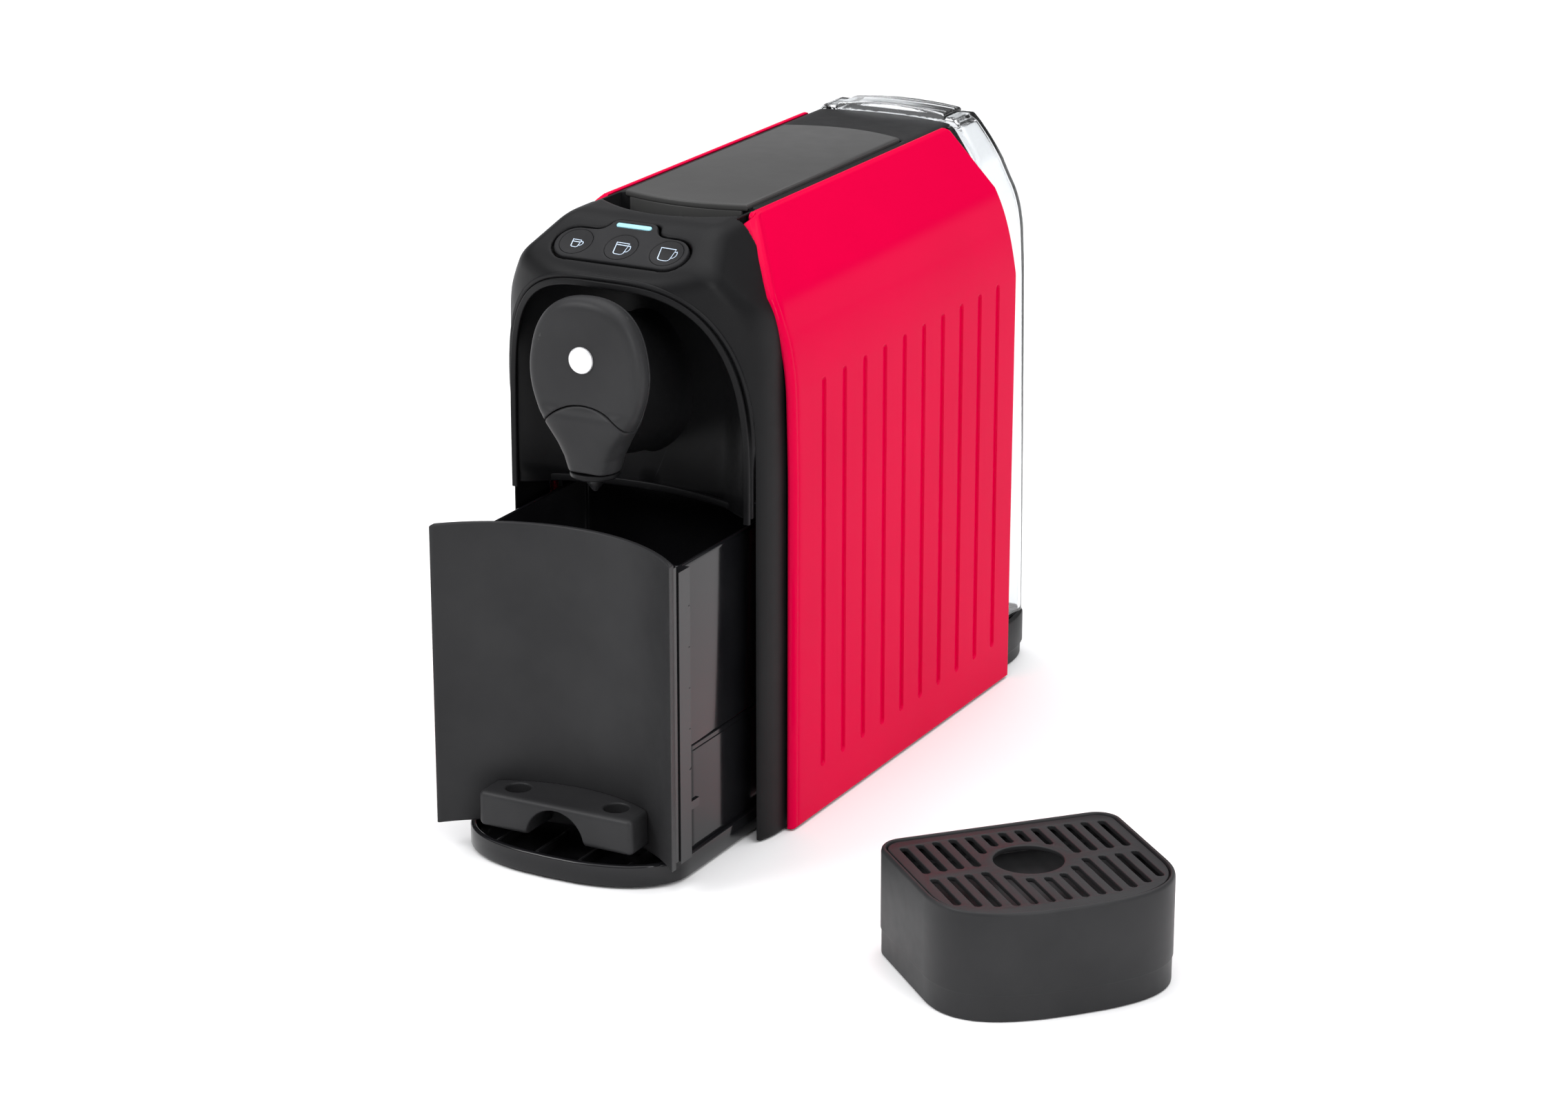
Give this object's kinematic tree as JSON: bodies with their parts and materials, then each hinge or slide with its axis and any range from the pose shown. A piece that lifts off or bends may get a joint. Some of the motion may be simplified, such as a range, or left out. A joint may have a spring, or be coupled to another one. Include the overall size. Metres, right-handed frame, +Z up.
{
  "type": "pod coffee machine",
  "caption": "Slim pod coffee machine with gloss side panels, lever lid, pull-out capsule drawer, rear water tank and a separate slotted cup tray.",
  "frame": {"origin": "on the table, on the machine's centre plane, at the standing face under the chassis, 5 mm behind the drawer bay's back wall", "axes": "+Z up, -Y towards the machine's front and drawer, +X to the machine's right as seen from the front"},
  "size_m": [0.3267, 0.3796, 0.2586],
  "materials": {
    "red": "high-gloss moulded red",
    "black": "fine-grained satin black",
    "charcoal": "satin charcoal",
    "gloss_black": "polished black",
    "lid_grey": "satin dark grey",
    "clear": "clear, slightly grey",
    "light": "translucent pale blue",
    "badge": "bright silver grey",
    "steel": "brushed",
    "cast": "cast",
    "rubber": "soft black",
    "board": "green board",
    "hose": "milky silicone"
  },
  "bodies": {
    "machine": {"left_side_panel": "red", "right_side_panel": "red", "chassis_base": "black", "front_housing": "black", "niche_lining": "black", "spout_neck": "black", "spout_collar": "black", "back_panel": "black", "drawer_bay": "black", "capsule_chute": "black", "brew_frame": "black", "brew_chamber": "black", "pump": "black", "flow_meter": "black", "tank_dock": "black", "spout_cover": "charcoal", "spout_funnel": "charcoal", "status_light": "light", "badge": "badge", "outlet_nozzle": "steel", "lever_pin": "steel", "piercing_plate": "steel", "heater": "cast", "foot_front_left": "rubber", "foot_front_right": "rubber", "foot_rear_left": "rubber", "foot_rear_right": "rubber", "keypad": "rubber", "cable_gland": "rubber", "button_board": "board", "circuit_board": "board", "tank_hose": "hose", "pump_hose": "hose", "brew_hose": "hose"},
    "drawer": {"drawer_panel": "charcoal", "drawer_carrier": "gloss_black", "tray_bracket": "charcoal", "drip_base": "gloss_black", "capsule_container": "gloss_black"},
    "tray": {"tray_body": "charcoal"},
    "grille": {"tray_grille": "charcoal"},
    "lever": {"lever_lid": "lid_grey", "left_lever_arm": "black", "right_lever_arm": "black"},
    "piston": {"brew_piston": "black", "piston_seal": "rubber", "toggle_link": "steel"},
    "small_key": {"small_cup_button": "rubber"},
    "medium_key": {"medium_cup_button": "rubber"},
    "large_key": {"large_cup_button": "rubber"},
    "tank": {"water_tank": "clear", "tank_valve": "steel"},
    "tank_cover": {"tank_lid": "clear"}
  },
  "joints": [
    {"name": "drawer_slide", "type": "slide", "parent": "machine", "child": "drawer", "axis": [0, -1, 0], "range_m": [-0.0672, 0.05]},
    {"name": "tray_lift", "type": "slide", "parent": "machine", "child": "tray", "axis": [0, 0, 1], "range_m": [0, 0.12]},
    {"name": "grille_lift", "type": "slide", "parent": "tray", "child": "grille", "axis": [0, 0, 1], "range_m": [0, 0.03]},
    {"name": "lever_hinge", "type": "hinge", "parent": "machine", "child": "lever", "pos_m": [0, 0.062, 0.247], "axis": [-1, 0, 0], "range_deg": [0, 60]},
    {"name": "piston_travel", "type": "slide", "parent": "machine", "child": "piston", "axis": [0, 1, 0], "range_m": [0, 0.02]},
    {"name": "small_cup_press", "type": "slide", "parent": "machine", "child": "small_key", "axis": [0, 0.4952, -0.8688], "range_m": [0, 0.001], "stiffness_N_per_m": 600},
    {"name": "medium_cup_press", "type": "slide", "parent": "machine", "child": "medium_key", "axis": [0, 0.4952, -0.8688], "range_m": [0, 0.001], "stiffness_N_per_m": 600},
    {"name": "large_cup_press", "type": "slide", "parent": "machine", "child": "large_key", "axis": [0, 0.4952, -0.8688], "range_m": [0, 0.001], "stiffness_N_per_m": 600},
    {"name": "tank_lift", "type": "slide", "parent": "machine", "child": "tank", "axis": [0, 0, 1], "range_m": [0, 0.25]},
    {"name": "tank_lid_hinge", "type": "hinge", "parent": "tank", "child": "tank_cover", "pos_m": [0, 0.1316, 0.2537], "axis": [-1, 0, 0], "range_deg": [0, 90]}
  ],
  "couplings": [
    {"joint": "piston_travel", "follows": "lever_hinge", "m_per_rad": 0.019}
  ]
}
